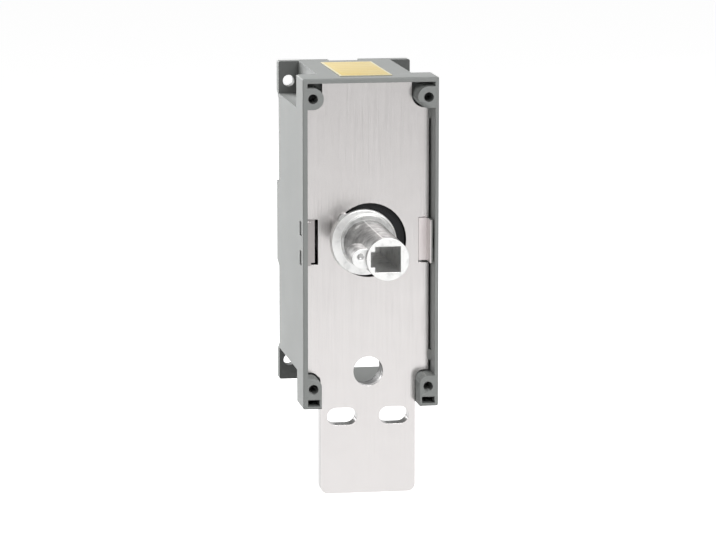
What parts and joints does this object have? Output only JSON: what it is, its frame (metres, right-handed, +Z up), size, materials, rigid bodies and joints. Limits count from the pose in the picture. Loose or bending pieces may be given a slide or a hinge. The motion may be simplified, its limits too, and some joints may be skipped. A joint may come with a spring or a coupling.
{
  "type": "mechanical interlock",
  "caption": "Grey open-backed case with a recessed steel plate, a square-socket hub that turns a quarter and a slide that closes a port behind the plate.",
  "frame": {"origin": "where the hub's axis meets the rear mounting plane of the ears and pads", "axes": "+Z up along the case's length, +Y to the back into the mounting panel, +X to the viewer's right"},
  "size_m": [0.066, 0.1375, 0.2028],
  "materials": {
    "case_plastic": "grey moulded plastic with a fine matt grain",
    "bright_steel": "bright zinc-plated sheet steel",
    "clip_plastic": "moulded plastic, slightly warmer grey than the case",
    "black_plastic": "black plastic with a low sheen",
    "cast_zinc": "raw zinc die casting, uneven and bright",
    "plated_steel": "zinc-plated steel",
    "spring_steel": "drawn spring wire",
    "bronze": "sintered bronze",
    "label_film": "bare yellow film label with a pale border"
  },
  "bodies": {
    "case": {"housing": "case_plastic", "front_plate": "bright_steel", "side_clip_left": "clip_plastic", "side_clip_right": "clip_plastic", "bearing_ring": "black_plastic", "carrier_plate": "bright_steel", "carrier_screw_upper_left": "plated_steel", "carrier_screw_upper_right": "plated_steel", "carrier_screw_lower_left": "plated_steel", "carrier_screw_lower_right": "plated_steel", "slide_rail_left": "black_plastic", "slide_rail_right": "black_plastic", "rail_rivet_upper_left": "plated_steel", "rail_rivet_upper_right": "plated_steel", "rail_rivet_lower_left": "plated_steel", "rail_rivet_lower_right": "plated_steel", "rear_bush": "bronze", "thrust_washer": "plated_steel", "port_bush": "black_plastic", "port_ring": "black_plastic", "spring_pin": "plated_steel", "top_label": "label_film"},
    "turning": {"hub": "cast_zinc", "cam_rotor": "black_plastic", "rear_coupler": "cast_zinc", "coupler_screw": "plated_steel"},
    "sliding": {"lock_slide": "bright_steel", "follower_pin": "plated_steel", "lock_spring": "spring_steel"}
  },
  "joints": [
    {"name": "hub_turn", "type": "hinge", "parent": "case", "child": "turning", "pos_m": [0, 0, 0], "axis": [0, 1, 0], "range_deg": [0, 90]},
    {"name": "lock_slide_travel", "type": "slide", "parent": "case", "child": "sliding", "axis": [0, 0, -1], "range_m": [0, 0.008], "deforming": ["lock_spring"]}
  ],
  "couplings": [
    {"joint": "lock_slide_travel", "follows": "hub_turn", "m_per_rad": 0.005093}
  ]
}
